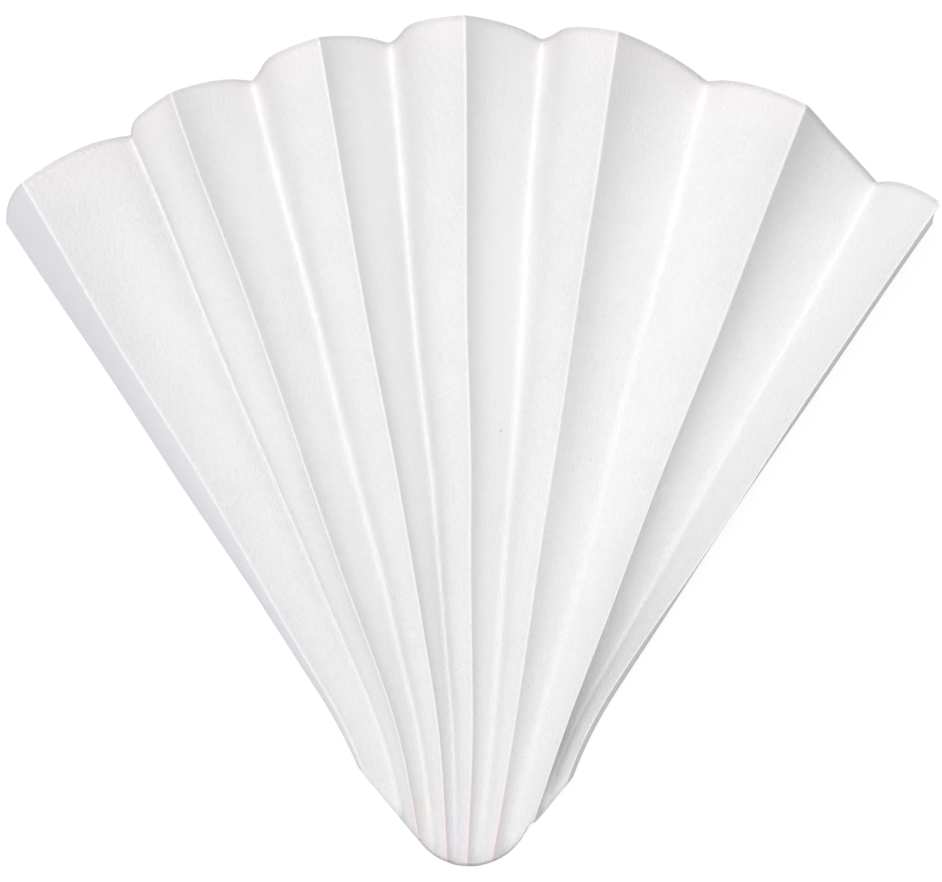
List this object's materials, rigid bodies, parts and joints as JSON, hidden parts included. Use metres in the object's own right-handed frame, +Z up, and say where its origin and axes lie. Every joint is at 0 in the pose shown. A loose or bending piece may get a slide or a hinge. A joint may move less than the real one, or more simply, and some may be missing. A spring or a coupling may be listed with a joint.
{
  "type": "paper coffee filter",
  "caption": "Round sheet of white filter paper folded in half and pleated into a fan with a rounded nose and a scalloped rim.",
  "frame": {"origin": "on the surface that the fan lies on, under the middle of its box", "axes": "+Z up from the surface, +Y towards the scalloped rim, -Y towards the rounded nose, +X across the pleats"},
  "size_m": [0.1352, 0.1196, 0.0234],
  "materials": {
    "paper": "matt"
  },
  "bodies": {
    "root": {"filter_paper": "paper"}
  },
  "joints": []
}
